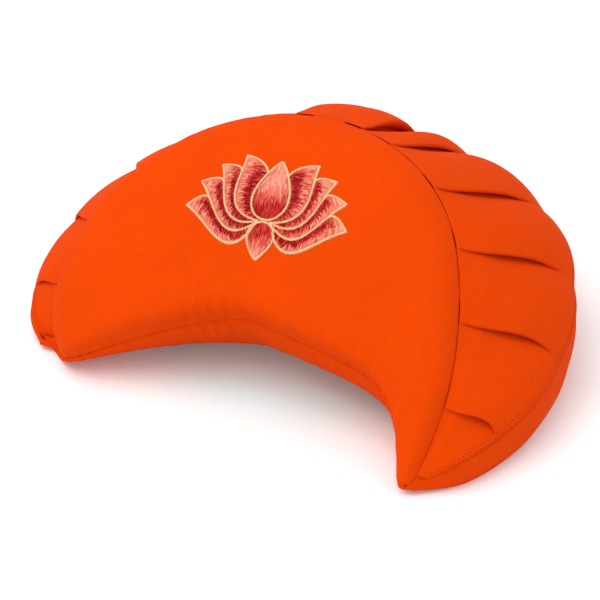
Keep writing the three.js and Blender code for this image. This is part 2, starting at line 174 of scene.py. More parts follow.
def widest_line(s):
    """The band's widest line: the seam's circle in plan pushed out by the reach, which falls off with
    fullness to a power, and leaned towards the back."""
    g, a = fullness(s), bearing(s)
    uneven = 1 + RIGHT_SWELL * s - SIDE_SLACK * s * s + HORN_SWELL * s**HORN_SWELL_POWER
    shoulder = SHOULDER_SWELL * np.exp(-(((s - SHOULDER_AT) / SHOULDER_WIDTH) ** 2))
    horn = np.where(s < 0, LEFT_HORN_REACH, RIGHT_HORN_REACH)
    reach = horn + (REACH - horn) * uneven * g**REACH_POWER + shoulder
    z = HORN_HEIGHT + (BULGE_HEIGHT - HORN_HEIGHT) * g**BULGE_POWER
    far = SEAM_RADIUS + reach
    return vec(far * np.cos(a), far * np.sin(a) + LEAN * g**LEAN_POWER, z)


def ground_edge(s, side):
    """Where the base meets the ground, at the back (side 0) and towards the bay (side 1)."""
    g, a = fullness(s), bearing(s)
    tuck = TUCK_UNDER * g**REACH_POWER
    edge = widest_line(s) - vec(tuck * np.cos(a), tuck * np.sin(a), 0 * g)
    if side:
        inner = inner_seam(s)
        plan = vec(inner[..., 0], HORN_Y + (inner[..., 1] - HORN_Y) / DEPTH_SCALE, 0)
        edge = mix(plan, edge, np.full(np.shape(s), FRONT_INSET))
    lift = (HORN_HEIGHT + HORN_LIFT) * g**HORN_LIFT_POWER
    edge[..., 2] = np.maximum(0, HORN_HEIGHT - lift) * 0.4
    return edge


def band_point(s, w):
    """The pleated side: a cubic from the convex seam, leaving below level, down to the widest line."""
    top, wide = outer_seam(s), widest_line(s)
    out, drop = level(top, wide), math.radians(DROP_ANGLE)
    leave = 0.6 * (out * math.cos(drop) - vec(0, 0, length(out) * math.sin(drop)))
    arrive = vec(0, 0, -0.55 * np.maximum(top[..., 2] - wide[..., 2], 1))
    return bend(top, leave, arrive, wide, w)


def lower_point(s, w):
    wide, ground = widest_line(s), ground_edge(s, 0)
    leave = vec(0, 0, -0.55 * (wide[..., 2] - ground[..., 2]))
    return bend(wide, leave, level(wide, ground) * 0.55, ground, w)


def base_point(s, w):
    return mix(ground_edge(s, 0), ground_edge(s, 1), w)


def front_point(s, w):
    ground, seam = ground_edge(s, 1), inner_seam(s)
    arrive = vec(0, 0, 0.4 * (seam[..., 2] - ground[..., 2]))
    return bend(ground, level(ground, seam) * 0.5, arrive, seam, w)


FACE, BAND, LOWER, BASE, FRONT = face_point, band_point, lower_point, base_point, front_point


def skin(zone, s, w):
    """A point of the smooth form; the left horn is a little shorter."""
    s, w = np.broadcast_arrays(np.asarray(s, float), np.asarray(w, float))
    point = zone(s, w)
    point[..., 1] += LEFT_SHORTER * np.maximum(-s, 0) ** LEFT_SHORTER_POWER
    return point


def outward(zone, s, w):
    """Unit normal of the smooth form, from two small steps along it."""
    step = 0.004
    s, w = np.broadcast_arrays(np.asarray(s, float), np.asarray(w, float))
    s0 = np.clip(s, -1 + 2 * step, 1 - 2 * step)
    w0 = np.clip(w, step, 1 - step)
    along = skin(zone, s0 + step, w0) - skin(zone, s0 - step, w0)
    across = skin(zone, s0, w0 + step) - skin(zone, s0, w0 - step)
    return unit(np.cross(along, across))


def tip_fade(s):
    """Relief dies out at the very tips of the horns."""
    return smooth((1 - np.abs(s)) / 0.04)


# ---- gentle unevenness ----
def ripple(x, y, waves, seed, count=7):
    """Soft unevenness: the mean of a few sine waves of mixed directions, with lengths within waves."""
    rng = np.random.default_rng(seed)
    total = 0.0
    for _ in range(count):
        turn, phase = rng.uniform(0, 2 * np.pi, 2)
        k = 2 * np.pi / rng.uniform(*waves)
        total = total + np.sin(k * (x * math.cos(turn) + y * math.sin(turn)) + phase)
    return total / math.sqrt(count)


def gathers(along, away, spacing, seed):
    """Puckers that run from a seam: a wave along it of uneven spacing, dying out away from it."""
    uneven = along + 0.35 * spacing * ripple(along, 0 * along, (3 * spacing, 7 * spacing), seed)
    wave = np.cos(2 * np.pi * uneven / spacing) * (0.65 + 0.35 * ripple(along, 0 * along, (40, 90), seed + 1))
    return wave * np.exp(-away / (0.9 * spacing)) * (1 - np.exp(-away / 1.8))


# ---- pleats ----
SIDES = {-1: "left", 1: "right"}


def fold_station(side, k, w):
    """Station of fold k on one side, counted from the middle, at depth w; it drifts on its way down."""
    if k < 0:
        return 0 * w
    at, down = abs(PLEATS[k][SIDES[side]]), np.minimum(w, 0.75)
    return at + FOLD_DRIFT * down + FOLD_ARCH * at * down**2


def fold_lift(side, k, w):
    """How far fold k stands out: nearly closed at the seam, open half way, gone at its reach."""
    x = w / PLEATS[k]["reach"]
    opening = (0.35 + 0.65 * smooth(x / 0.4)) * (1 - smooth((x - 0.45) / 0.55))
    share = LEFT_LIFT if side < 0 and k > 0 else 1.0
    return share * PLEATS[k]["lift"] * np.where(x < 1, opening, 0)


def swelling(w):
    return np.sin(np.pi * np.minimum(w / PUFF_END, 1)) ** 0.7 + 0.25 * w


def puff_height(side, k, x, w):
    """Relief of the cloth before fold k, at the share x of the way to it from the fold before."""
    if k == 0:
        return fold_lift(side, 0, w) * (0.85 + 0.15 * x) + PUFF_MIDDLE * swelling(w) * (1 - x * x) * 0.6
    dome = swelling(w) * 4 * x * (1 - x)
    if k == len(PLEATS):
        return HORN_PUFF * dome
    start, end = fold_station(side, k - 1, w), fold_station(side, k, w)
    most = (PUFF_LEFT if side < 0 else PUFF_RIGHT) * (1 - PUFF_FADE * (start + x * (end - start)))
    return fold_lift(side, k, w) * np.maximum(x, 0) ** 1.4 + most * dome


def relief(s, w, fill=None):
    """Height of the pleated cloth over the smooth form at any station. With a fill, in millimetres,
    the relief is cleared that far behind every fold, for the body underneath."""
    s, w = np.broadcast_arrays(np.asarray(s, float), np.asarray(w, float))
    height = np.zeros(s.shape)
    for side in (-1, 1):
        at = np.abs(s)
        on_side = s < 0 if side < 0 else s >= 0
        for k in range(len(PLEATS) + 1):
            start = fold_station(side, k - 1, w)
            end = fold_station(side, k, w) if k < len(PLEATS) else 1 + 0 * w
            here = on_side & (at >= start) & (at <= end)
            x = np.clip((at - start) / (end - start), 0, 1)
            value = puff_height(side, k, x, w)
            if fill is not None:
                value = value * smooth((1 - x) * (end - start) * 380 / fill - 1) * smooth(x * 4 + (k == 0))
            height = np.where(here, value, height)
    return height


def hem_depth(s):
    return HEM_DEPTH - HEM_RISE * np.abs(s) ** HEM_RISE_POWER


def lap_share(s):
    """Width of the lap strip as a share of the band's depth."""
    return np.minimum(LAP_WIDTH / (1.15 * length(outer_seam(s) - widest_line(s))), LAP_MOST)


FOLD_TUCK, FOLD_NOSE, FOLD_SPREAD = 9.0, 1.0, 5.0


def fold_profile(t, lift, slope):
    """Section of a knife pleat as t goes from 0 on the ridge to 1 on the lower cloth: over a rounded
    nose, back under the fold and forward again. Returns millimetres towards the horn, and height."""
    nose = np.minimum(FOLD_NOSE, 0.3 * lift)
    tuck = np.minimum(FOLD_TUCK, 1.3 * lift)
    floor = 0.22 * lift
    turn = np.arctan(slope)
    zero = 0 * lift
    ridge = np.stack([zero, lift], -1)
    tip = np.stack([nose, lift - 1.1 * nose + nose * np.minimum(slope, 0)], -1)
    back = np.stack([-tuck, floor], -1)
    exit_ = np.stack([zero, zero], -1)
    over = np.stack([np.cos(turn), np.sin(turn)], -1) * (0.8 * nose)[..., None]
    down = np.stack([zero, -0.6 * nose], -1)
    plunge = np.stack([zero, -0.45 * lift], -1)
    settle = np.stack([zero, -0.25 * lift], -1)
    turn_in = np.stack([zero, -0.6 * floor], -1)
    run_out = np.stack([0.55 * tuck, zero], -1)
    first = bend(ridge, over, down, tip, np.clip(t / 0.25, 0, 1))
    second = bend(tip, plunge, settle, back, np.clip((t - 0.25) / 0.4, 0, 1))
    third = bend(back, turn_in, run_out, exit_, np.clip((t - 0.65) / 0.35, 0, 1))
    piece = np.where(t[..., None] < 0.25, first, np.where(t[..., None] < 0.65, second, third))
    return piece[..., 0], piece[..., 1]


PUFF_COLUMNS, FOLD_COLUMNS = 26, 15


def pleated_layout(w):
    """Stations and heights of the folded cloth, as columns along the band by rows w down it. Between
    folds the columns share out the puff; at a fold they follow the pleat's section."""
    w = np.asarray(w, float)[None, :]
    close = 0.28 + 0.72 * (1 - np.exp(-w * 150 / 5))     # pleats close up towards the seam
    sides = {}
    for side in (-1, 1):
        stations, heights = [], []
        begin_station = 0 * w
        for k in range(len(PLEATS) + 1):
            last = k == len(PLEATS)
            before = fold_station(side, k - 1, w)
            fold = fold_station(side, k, w) if not last else 1 + 0 * w
            scale = length(skin(BAND, side * (fold - 0.01), w) - skin(BAND, side * (fold - 0.03), w)) / 0.02
            lift = (fold_lift(side, k, w) if not last else 0 * w) * close
            open_ = smooth(lift / 2.5)
            spread = FOLD_SPREAD * (1 - open_) / scale if not last else 0 * w

            def height_at(station, k=k, before=before, fold=fold):
                return puff_height(side, k, (station - before) / (fold - before), w) * close

            end_station = fold - 0.3 * spread
            share = np.linspace(0, 1, PUFF_COLUMNS)[:, None]
            station = begin_station + (end_station - begin_station) * share
            stations.append(station)
            heights.append(height_at(station))
            if last:
                break
            after = fold_station(side, k + 1, w) if k + 1 < len(PLEATS) else 1 + 0 * w
            next_station = fold + 0.7 * spread
            next_height = puff_height(side, k + 1, (next_station - fold) / (after - fold), w) * close
            step = 0.002
            slope = (height_at(end_station) - height_at(end_station - step)) / (step * scale)
            t = np.linspace(0, 1, FOLD_COLUMNS)[1:-1, None] + 0 * w
            x, z = fold_profile(t, lift + 0 * t, slope + 0 * t)
            x = open_ * x / scale + end_station + (next_station - end_station) * t
            z = open_ * z + (1 - open_) * lift * (1 - smooth(t))
            z = z + (height_at(end_station) - lift) * (1 - t) + next_height * t
            stations.append(x)
            heights.append(z)
            begin_station = next_station
        sides[side] = np.concatenate(stations), np.concatenate(heights)
    left, right = sides[-1], sides[1]
    station = np.concatenate([-left[0][:0:-1], right[0]])
    height = np.concatenate([left[1][:0:-1], right[1]])
    return station, height


# ---- meshes ----
def make_mesh(name, points, faces, uv=None, colour=None):
    """A mesh object from points in millimetres and corner lists; uv and colour are per corner."""
    mesh = bpy.data.meshes.new(name)
    points = (np.asarray(points, float) - MIDDLE) * MM
    faces = np.asarray(faces, np.int32)
    mesh.vertices.add(len(points))
    mesh.vertices.foreach_set("co", points.astype(np.float32).ravel())
    mesh.loops.add(faces.size)
    mesh.loops.foreach_set("vertex_index", faces.ravel())
    mesh.polygons.add(len(faces))
    mesh.polygons.foreach_set("loop_start", np.arange(0, faces.size, faces.shape[1], dtype=np.int32))
    mesh.update(calc_edges=True)
    if uv is not None:
        layer = mesh.uv_layers.new(name="cloth")
        layer.data.foreach_set("uv", np.asarray(uv, np.float32).ravel())
    if colour is not None:
        layer = mesh.color_attributes.new("dye", "FLOAT_COLOR", "CORNER")
        rgba = np.ones((faces.size, 4), np.float32)
        rgba[:, :3] = np.asarray(colour, np.float32).reshape(-1, 3)
        layer.data.foreach_set("color", rgba.ravel())
    mesh.shade_smooth()
    mesh.validate()
    made = bpy.data.objects.new(name, mesh)
    bpy.context.scene.collection.objects.link(made)
    return made


def grid_faces(rows, columns, close_rows=False, close_columns=False):
    """Corner indices of the quads of a grid of points, rows by columns."""
    i = np.arange(rows if close_rows else rows - 1)
    j = np.arange(columns if close_columns else columns - 1)
    i, j = np.meshgrid(i, j, indexing="ij")
    i1, j1 = (i + 1) % rows, (j + 1) % columns
    quads = np.stack([i * columns + j, i1 * columns + j, i1 * columns + j1, i * columns + j1], -1)
    return quads.reshape(-1, 4)


def run_length(points, axis):
    """Distance travelled along one axis of a grid of points, from its start."""
    steps = length(np.diff(points, axis=axis))
    start = np.zeros_like(np.take(steps, [0], axis))
    return np.concatenate([start, np.cumsum(steps, axis)], axis)


# ---- the body ----
STATION_COUNT = 441


def body_stations():
    t = np.linspace(-1, 1, STATION_COUNT)
    return t + 0.35 * np.sin(np.pi * t) / np.pi


def graded(edge, step):
    """Rows from 0 to 1, close together at both ends as edge says, then evenly."""
    edge = np.array(edge)
    between = np.arange(edge[-1] + step, 1 - edge[-1] - step / 2, step)
    return np.concatenate([edge, between, 1 - edge[::-1]])


SEAM_ROWS = (0, 0.0018, 0.004, 0.0072, 0.0115, 0.017, 0.025, 0.036, 0.052, 0.073, 0.1)
FACE_ROWS = graded(SEAM_ROWS, 0.026)
BAND_ROWS = (0, 0.04, 0.15, 0.3, 0.45, 0.6, 0.75)
BELOW_HEM = (-0.03, -0.01, 0.005, 0.02, 0.035, 0.05)
LOWER_ROWS = np.linspace(0, 1, 19)
BASE_ROWS = np.linspace(0, 1, 7)
FRONT_ROWS = np.concatenate([np.linspace(0, 0.8, 13), [0.86, 0.91, 0.945, 0.965, 0.98, 0.99, 0.996, 1]])


def seam_rise(away):
    """A sewn seam: the cloth rises steeply beside it, then rounds out softly."""
    return 0.6 * (1 - np.exp(-away / 0.45)) + 2.2 * smooth(away / 20)


BAY_RUN, BAND_RUN = 210, 318          # half the length of each seam
BAY_PUCKERS, BAND_PUCKERS = (15, 3), (17, 5)    # spacing and seed of the puckers along each seam
FACE_WAVES, FACE_SEED = (45, 110), 11


def face_offset(s, v):
    """The face between its two seams: rounded beside them, puckered along them, slack between."""
    width = length(inner_seam(s) - outer_seam(s))
    middle = skin(FACE, s, v)
    to_bay, to_band = v * width, (1 - v) * width
    rolled = 0.35 * (1 - smooth(to_bay / 6))     # the bay's seam is drawn in more softly
    rise = seam_rise(np.minimum(to_bay, to_band)) + rolled * smooth((to_band - to_bay) / 10)
    puckers = (0.9 * gathers(s * BAY_RUN, to_bay, *BAY_PUCKERS)
               + 0.35 * gathers(s * BAND_RUN, to_band, *BAND_PUCKERS))
    waves = ripple(middle[..., 0], middle[..., 1], FACE_WAVES, FACE_SEED)
    slack = 0.45 * waves * smooth(np.minimum(to_bay, to_band) / 25)
    return rise + (puckers + slack) * smooth(width / 60 - 0.2)


def side_offset(s, w):
    """Under the band the body stays clear of the folds; below the hem it comes up level with it."""
    shown = smooth((w - hem_depth(s) + 0.012) / 0.024)
    hidden = relief(s, w, fill=FOLD_TUCK + 3) * 0.9 - 0.4
    return hidden * (1 - shown) + (relief(s, w) + LOWER_SKIN) * shown


def lower_offset(s, w):
    fall = 1 - smooth(w * 1.1)
    point = skin(LOWER, s, w)
    slack = 0.7 * ripple(s * 420, point[..., 2], (35, 80), 21) * smooth(w * 3) * smooth((1 - w) * 4)
    return (relief(s, 1.0) + LOWER_SKIN) * fall + slack


def front_offset(s, w):
    away = (1 - w) * 60 * fullness(s) ** 0.5
    rise = 1.4 * (1 - np.exp(-away / 0.9)) * smooth(w * 2.5)
    return rise + 1.1 * gathers(s * BAY_RUN, away, *BAY_PUCKERS) * smooth(w * 3)


ZONE_OFFSETS = {FACE: face_offset, BAND: side_offset, LOWER: lower_offset, FRONT: front_offset,
                BASE: lambda s, w: 0 * s * w}


def body_grid(stations):
    """The body's rings: each zone's points down the rows, and the cloth coordinates of each zone."""
    s = stations[:, None]
    tip = tip_fade(s)
    side_rows = np.concatenate([
        np.broadcast_to(BAND_ROWS, (len(stations), len(BAND_ROWS))), hem_depth(s) + BELOW_HEM], 1)
    side_rows = np.concatenate([side_rows, np.ones_like(s)], 1)
    rows = {FACE: FACE_ROWS[None, :], BAND: side_rows, LOWER: LOWER_ROWS[None, :],
            BASE: BASE_ROWS[None, :], FRONT: FRONT_ROWS[None, :]}
    points, cloth = [], []
    for zone, w in rows.items():
        point = skin(zone, s, w)
        offset = ZONE_OFFSETS[zone](*np.broadcast_arrays(s, w)) * tip
        point = point + outward(zone, s, w) * offset[..., None]
        points.append(point)
        if zone is FACE:
            u, v = point[..., 0], point[..., 1] / math.cos(math.radians(TILT))
        else:
            u = np.broadcast_to(run_length(point[:, point.shape[1] // 2], 0)[:, None], point.shape[:2])
            v = run_length(point, 1)
        cloth.append(np.stack([u, v], -1))
    return points, cloth


TIP_ROUND, TIP_SHARES = 1.5, (0.3, 0.6, 0.85)


def cushion_body():
    """Points, faces and cloth coordinates of the body's skin, and the faces that close its tips."""
    stations = body_stations()
    points, cloth = body_grid(stations)
    ring = np.concatenate([p[:, :-1] for p in points], 1)
    count, around = ring.shape[:2]
    faces = grid_faces(count, around, close_columns=True)
    uv, start = np.zeros((count - 1, around, 4, 2)), 0
    for part in cloth:
        rows = part.shape[1] - 1
        corners = [part[:-1, :-1], part[1:, :-1], part[1:, 1:], part[:-1, 1:]]
        uv[:, start:start + rows] = np.stack(corners, 2)
        start += rows
    # Each horn tip is closed by shrinking its last ring to the middle, in four steps.
    vertices, tips = [ring.reshape(-1, 3)], []
    total = count * around
    for end, base in ((0, 0), (count - 1, (count - 1) * around)):
        middle = ring[end].mean(0)
        inner_out = unit(ring[end].mean(0) - ring[end - 6 if end else 6].mean(0))
        previous = base + np.arange(around)
        for share in TIP_SHARES:
            rise = inner_out * TIP_ROUND * math.sqrt(1 - (1 - share) ** 2)
            loop = mix(ring[end], middle, np.full(around, share)) + rise
            vertices.append(loop)
            current = total + np.arange(around)
            total += around
            quads = np.stack([previous, np.roll(previous, -1), np.roll(current, -1), current], -1)
            tips.append(quads if end else quads[:, ::-1])
            previous = current
        vertices.append((middle + inner_out * TIP_ROUND)[None])
        fan = np.stack([previous, np.roll(previous, -1), np.full(around, total), np.full(around, total)], -1)
        tips.append(fan if end else fan[:, [1, 0, 2, 3]])
        total += 1
    return np.concatenate(vertices), faces, uv, tips


def build_body():
    """The filled body as one closed skin of quads, with a small fan at each horn tip."""
    vertices, faces, uv, tips = cushion_body()
    tip_faces = np.concatenate(tips)
    tip_uv = np.stack([vertices[tip_faces][..., 0], vertices[tip_faces][..., 2]], -1)
    faces = np.concatenate([faces, tip_faces])
    uv = np.concatenate([uv.reshape(-1, 4, 2), tip_uv])
    made = make_mesh("cushion_cover", vertices, faces, uv * MM)
    merge_and_face_out(made)
    return made


def merge_and_face_out(made, merge=True):
    work = bmesh.new()
    work.from_mesh(made.data)
    if merge:
        bmesh.ops.remove_doubles(work, verts=work.verts, dist=2e-6)
    bmesh.ops.recalc_face_normals(work, faces=work.faces)
    if work.calc_volume(signed=True) < 0:
        bmesh.ops.reverse_faces(work, faces=work.faces)
    work.to_mesh(made.data)
    work.free()


# ---- the pleated band ----
BAND_DEPTH_ROWS = np.concatenate([[0, 0.003, 0.008, 0.015, 0.025, 0.04], np.linspace(0.06, 1, 44)])


def pleated_points(shares, extra=0.0):
    """The pleated cloth on rows that share out the way from the seam to the hem."""
    shares = np.asarray(shares, float)
    station, height = pleated_layout(shares * HEM_DEPTH)
    keep = np.abs(station[:, 0]) <= 1.0001
    station, height = station[keep], height[keep]
    depth = shares[None, :] * hem_depth(station)
    away = depth * 150
    base = 0.35 + (BAND_SKIN - 0.35) / 2.8 * seam_rise(away)
    offset = (height + base) * tip_fade(station) + extra
    return skin(BAND, station, depth) + outward(BAND, station, depth) * offset[..., None], station


def build_band():
    """The band: one sheet of cotton folded into knife pleats, 0.5 mm thick."""
    points, station = pleated_points(BAND_DEPTH_ROWS)
    inside = np.abs(station[:, 0]) < BAND_END
    points = points[inside]
    u = np.broadcast_to(run_length(points[:, points.shape[1] // 2], 0)[:, None], points.shape[:2])
    uv = np.stack([u, run_length(points, 1)], -1).reshape(-1, 2)
    faces = grid_faces(*points.shape[:2])[:, ::-1]
    made = make_mesh("pleated_cover", points.reshape(-1, 3), faces, uv[faces.ravel()] * MM)
    area = sum(p.area for p in made.data.polygons)
    thick = made.modifiers.new("cloth thickness", "SOLIDIFY")
    thick.thickness, thick.offset = 0.0005, -1
    return made, area, float(u.max()) * MM


# ---- threads ----
def thread_bodies(path, up, side, width, thick):
    """Closed bodies of short threads. path, up and side hold stitches by points along each by xyz; the
    section is a diamond, width across and thick high, narrower and sunk at both ends of a stitch."""
    count, along = path.shape[:2]
    t = np.linspace(-1, 1, along)
    taper = (1 - 0.55 * np.abs(t) ** 3)[None, :, None]
    width = np.broadcast_to(np.asarray(width, float), (count,))[:, None, None]
    half = side * width / 2 * taper
    crown = up * thick * taper
    ring = np.stack([path - half, path + crown, path + half, path - 0.35 * crown], 2)
    stitch = grid_faces(along, 4, close_columns=True)
    ends = np.array([[0, 1, 2, 3], [4 * along - 1, 4 * along - 2, 4 * along - 3, 4 * along - 4]])
    stitch = np.concatenate([stitch, ends])
    faces = stitch[None] + (np.arange(count) * 4 * along)[:, None, None]
    return ring.reshape(-1, 3), faces.reshape(-1, 4), len(stitch)


# ---- the lap strip on the band's hem ----
LAP_ROWS = np.array([0, 0.03, 0.08, 0.16, 0.24, 0.32, 0.5, 0.68, 0.76, 0.84, 0.92, 0.97, 1])
LAP_LOW, LAP_HIGH = 0.15, 0.95
STITCH_ROWS = (0.24, 0.76)
STITCH_LONG, STITCH_PITCH = 2.5, 3.3


def lap_point(station, across, height):
    """A point over the hem: across runs from 0 at the strip's upper edge to 1 at the hem itself."""
    depth = hem_depth(station) - lap_share(station) * (1 - across)
    w = depth / hem_depth(station) * HEM_DEPTH
    offset = relief(station, w) * tip_fade(station) + BAND_SKIN + height
    return skin(BAND, station, depth) + outward(BAND, station, depth) * offset[..., None]


def lap_height(across):
    """The strip's section: turned edges, full between its two rows of stitches, drawn in along them."""
    edge = 1 - (2 * across - 1) ** 8
    drawn = sum(np.exp(-(((across - row) / 0.07) ** 2)) for row in STITCH_ROWS)
    return LAP_LOW + (LAP_HIGH - LAP_LOW) * edge * (1 - 0.35 * drawn)


def build_lap():
    """The lap strip as a closed flat tube along the hem."""
    station = np.linspace(-LAP_END, LAP_END, 520)[:, None]
    top = lap_point(station, LAP_ROWS[None], lap_height(LAP_ROWS)[None])
    under = lap_point(station, LAP_ROWS[None, ::3], np.full((1, len(LAP_ROWS[::3])), 0.02))[:, ::-1]
    ring = np.concatenate([top, under], 1)
    count, around = ring.shape[:2]
    faces = grid_faces(count, around, close_columns=True)
    u = np.broadcast_to(run_length(ring[:, 6], 0)[:, None], (count, around))
    v = np.broadcast_to(np.concatenate([LAP_ROWS, LAP_ROWS[::3][::-1]]) * LAP_WIDTH, (count, around))
    uv = np.stack([u, v], -1).reshape(-1, 2)
    made = make_mesh("lap_strip_sewn", ring.reshape(-1, 3), faces, uv[faces.ravel()] * MM)
    close_ends(made)
    return made


def close_ends(made):
    """Closes the open ends of a tube and turns its faces outward."""
    work = bmesh.new()
    work.from_mesh(made.data)
    bmesh.ops.holes_fill(work, edges=[e for e in work.edges if e.is_boundary])
    bmesh.ops.recalc_face_normals(work, faces=work.faces)
    if work.calc_volume(signed=True) < 0:
        bmesh.ops.reverse_faces(work, faces=work.faces)
    work.to_mesh(made.data)
    work.free()


def build_lap_stitches():
    """Two rows of running stitches in the strip's channels."""
    paths, ups, sides = [], [], []
    fine = np.linspace(-LAP_END + 0.004, LAP_END - 0.004, 4000)
    for row in STITCH_ROWS:
        line = lap_point(fine, np.full(fine.shape, row), np.zeros(fine.shape))
        run = run_length(line, 0)
        starts = np.arange(1.0, run[-1] - STITCH_PITCH, STITCH_PITCH)
        at = starts[:, None] + np.linspace(0, STITCH_LONG, 5)
        station = np.interp(at, run, fine)
        across = np.full(station.shape, row)
        arch = 0.12 * np.array([-2.2, 0.6, 1, 0.6, -2.2])
        height = lap_height(across) + arch
        path = lap_point(station, across, height)
        up = unit(lap_point(station, across, height + 1) - path)
        along = unit(np.gradient(path, axis=1))
        paths.append(path)
        ups.append(up)
        sides.append(np.cross(along, up))
    points, faces, _ = thread_bodies(*map(np.concatenate, (paths, ups, sides)), 0.62, 0.34)
    uv = np.zeros((len(points), 2))
    made = make_mesh("lap_stitches", points, faces, uv[faces.ravel()])
    merge_and_face_out(made, merge=False)
    return made


# ---- the lotus, in its own flat coordinates: a across, b up the slope of the face ----
LOTUS_X, LOTUS_RISE, LOTUS_TURN = -5.0, 0.40, 5.0
BUD = {"height": 50.0, "half_width": 15.0, "belly": 0.6, "foot": 0.0}
DROP_PETAL = {"height": 25.0, "half_width": 11.0, "belly": 0.75, "foot": 1.5}
# The side petals open like a fan: each pair turns by one step more and is a little longer.
FAN = {"pairs": 4, "first_turn": 30.0, "turn_step": 20.0, "first_length": 60.0, "length_step": 2.0}
# One shape serves them all: each handle's turn from the petal's own line and share of its length.
PETAL_HANDLES = {"tip": (0.0, 1.0), "low": (60.0, 0.7), "side": (10.0, 0.7), "crest": (-15.0, 0.85)}
PETAL_LEAVE = 0.75
PETAL_FOOT, PARTING = (5.0, -1.5), 0.68
MIRROR = np.array([-1.0, 1.0])


def on_lotus_ground(flat, height):
    """A point on the face from motif coordinates, by Newton's method on the face's two parameters."""
    turn = math.radians(LOTUS_TURN)
    a = flat[..., 0] * math.cos(turn) - flat[..., 1] * math.sin(turn)
    b = flat[..., 0] * math.sin(turn) + flat[..., 1] * math.cos(turn)
    foot = face_point(np.array(0.0), np.array(LOTUS_RISE))
    target_x, target_y = LOTUS_X + a, foot[1] + b * math.cos(math.radians(TILT))
    s, v, step = target_x / 250, LOTUS_RISE + b / MID_WIDTH, 0.001
    for _ in range(7):
        here = face_point(s, v)
        ds = (face_point(s + step, v) - here) / step
        dv = (face_point(s, v + step) - here) / step
        det = ds[..., 0] * dv[..., 1] - ds[..., 1] * dv[..., 0]
        dx, dy = target_x - here[..., 0], target_y - here[..., 1]
        s = s + (dx * dv[..., 1] - dy * dv[..., 0]) / det
        v = v + (dy * ds[..., 0] - dx * ds[..., 1]) / det
    normal = outward(FACE, s, v)
    return skin(FACE, s, v) + normal * (face_offset(s, v) + height)[..., None], normal


def flat_bend(points, u):
    """A Bezier curve in the motif's plane, quadratic or cubic by its number of points."""
    points = [np.asarray(p, float) for p in points]
    u = np.asarray(u)[..., None]
    while len(points) > 1:
        points = [p + (q - p) * u for p, q in zip(points, points[1:])]
    return points[0]


def upright_edge(size, u):
    """Half of an upright petal: half width is sin(pi u^belly)^0.8, round below, pointed above."""
    half = size["half_width"] * np.sin(np.pi * np.clip(u, 0, 1) ** size["belly"]) ** 0.8
    return np.stack([half, size["foot"] + size["height"] * u], -1)


def side_petal(k):
    """Tip and handles of side petal k, each turned from straight up at its distance from the foot."""
    turn = FAN["first_turn"] + FAN["turn_step"] * k
    long = FAN["first_length"] + FAN["length_step"] * k
    points = {}
    for name, (extra, share) in PETAL_HANDLES.items():
        angle = math.radians(turn + extra)
        points[name] = (long * share * math.sin(angle), long * share * math.cos(angle))
    return points


SIDE_PETALS = [side_petal(k) for k in range(FAN["pairs"])]


def lower_edge(k, u):
    if k < 0:
        return upright_edge(BUD, u)
    row = SIDE_PETALS[k]
    return flat_bend([PETAL_FOOT, row["low"], row["side"], row["tip"]], u)


def upper_edge(k, u):
    """Up the petal inside it, then over the crest to the tip."""
    row, u = SIDE_PETALS[k], np.asarray(u, float)
    inside = lower_edge(k - 1, PETAL_LEAVE * np.minimum(u / PARTING, 1))
    part = lower_edge(k - 1, np.array(PETAL_LEAVE))
    crest = flat_bend([part, row["crest"], row["tip"]], np.clip((u - PARTING) / (1 - PARTING), 0, 1))
    return np.where((u <= PARTING)[..., None], inside, crest)


def petals():
    """Every petal as (edge a, edge b, mirrored, upright): both edges are functions of u, foot to tip."""
    down = np.array([1.0, -1.0])
    yield (lambda u: upright_edge(BUD, u)), (lambda u: upright_edge(BUD, u) * MIRROR), 1, "bud"
    yield ((lambda u: upright_edge(DROP_PETAL, u) * MIRROR * down),
           (lambda u: upright_edge(DROP_PETAL, u) * down), 1, "drop")
    for k in range(len(SIDE_PETALS)):
        for mirror in (1, -1):
            side = np.array([mirror, 1.0])
            yield ((lambda u, k=k, side=side: lower_edge(k, u) * side),
                   (lambda u, k=k, side=side: upper_edge(k, u) * side), mirror, "side")


TONES = (0.0, 0.3, 0.55, 0.8, 1.0)
THREAD_DYES = ((0.33, 0.002, 0.004), (0.56, 0.010, 0.012), (0.86, 0.11, 0.070),
               (0.95, 0.30, 0.19), (1.0, 0.50, 0.36))


def thread_colour(tone):
    """Dye of a thread from its tone, 0 deep red to 1 pale pink."""
    return np.stack([np.interp(tone, TONES, [dye[c] for dye in THREAD_DYES]) for c in range(3)], -1)


def petal_tone(kind, u, q):
    """Shading of a petal: u runs from foot to tip, q from its outer to its inner edge."""
    if kind == "bud":
        return 0.30 + 0.62 * smooth((u - 0.10) / 0.55) + 0 * q
    if kind == "drop":
        return 0.35 + 0.50 * smooth((u - 0.20) / 0.65) + 0 * q
    band = np.exp(-(((q - 0.64) / 0.27) ** 2)) * (1 - smooth((u - 0.66) / 0.26))
    return 0.88 * (1 - band)


FILL_WIDTH, FILL_LONG, FILL_THICK = 0.80, 5.6, 0.55
FILL_COVER = 1.75          # area of the threads over the petal's own


